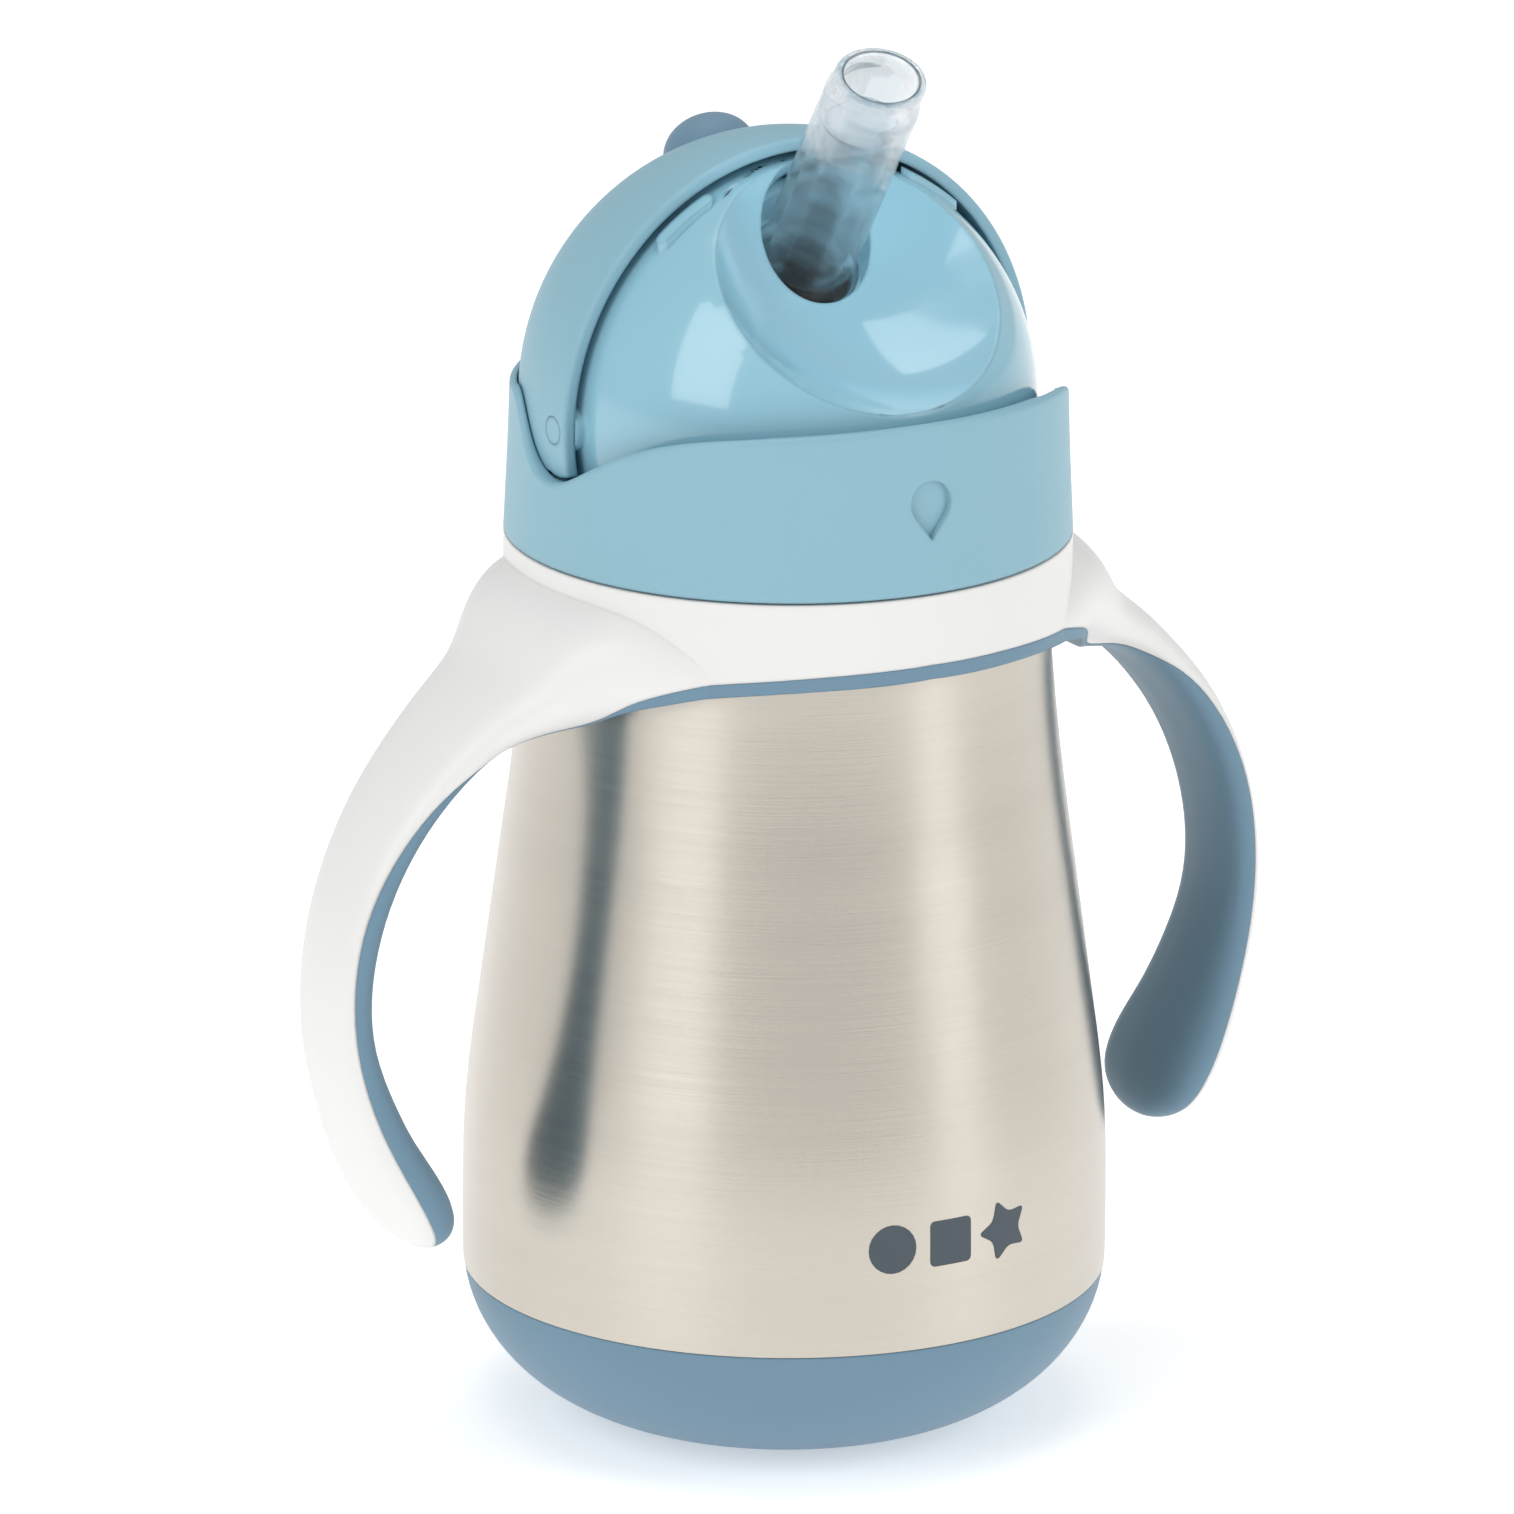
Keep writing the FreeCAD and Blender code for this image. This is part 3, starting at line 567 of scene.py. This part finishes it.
def printed_marks():
    """Row of generic toy-block shapes on the lower front."""
    marks = [
        printed_shape("printed_ball", 24, 0.0, 3.1, -7.5),
        printed_shape("printed_block", 4, math.pi / 4, 4.1, 0.4),
        printed_shape("printed_star", 10, math.pi / 2, 4.1, 8.6, 0.55),
    ]
    for mark in marks:
        finish_piece(mark, "vessel", PRINT)


# ------------------------------------------------------------ studio

def studio():
    deselect()
    bpy.ops.mesh.primitive_plane_add(size=6, location=(0, 0, -0.00002))
    floor = bpy.context.object
    floor.name = "pale_floor"
    material, tree, shader, _ = new_material("pale_floor")
    shader.inputs["Base Color"].default_value = (0.93, 0.93, 0.93, 1)
    shader.inputs["Roughness"].default_value = 0.7
    shader.inputs["Emission Color"].default_value = (1, 1, 1, 1)
    shader.inputs["Emission Strength"].default_value = 0.42
    floor.data.materials.append(material)
    world = bpy.data.worlds.new("studio")
    world.use_nodes = True
    world.node_tree.nodes["Background"].inputs["Color"].default_value = (1, 1, 1, 1)
    world.node_tree.nodes["Background"].inputs["Strength"].default_value = 0.47
    bpy.context.scene.world = world


def soft_light(name, place, aim, size, height, power):
    data = bpy.data.lights.new(name, "AREA")
    data.shape = "RECTANGLE"
    data.size = size
    data.size_y = height
    data.energy = power
    lamp = bpy.data.objects.new(name, data)
    bpy.context.scene.collection.objects.link(lamp)
    lamp.location = place
    lamp.rotation_euler = (Vector(aim) - Vector(place)).to_track_quat("-Z", "Y").to_euler()


def lights():
    middle = (0, 0, 0.09)
    soft_light("left_softbox", (-1.1, -0.35, 0.75), middle, 0.7, 1.0, 5.4)
    soft_light("right_softbox", (0.75, -1.0, 0.7), middle, 0.45, 0.8, 4.4)
    soft_light("top_softbox", (0.0, 0.1, 1.3), middle, 0.8, 0.8, 4.2)


def camera():
    data = bpy.data.cameras.new("camera")
    data.lens = 369.9
    data.sensor_width = 36.0
    data.clip_start = 0.01
    data.clip_end = 50.0
    view = bpy.data.objects.new("camera", data)
    bpy.context.scene.collection.objects.link(view)
    view.location = (-0.92356, -1.58684, 0.6432)
    view.rotation_euler = (1.2747843, -0.0052608, -0.5234851)
    bpy.context.scene.camera = view


dress_kept_nodes()
base_boot()
silicone_spout()
printed_marks()
studio()
lights()
camera()
bpy.context.scene.view_settings.view_transform = "Standard"
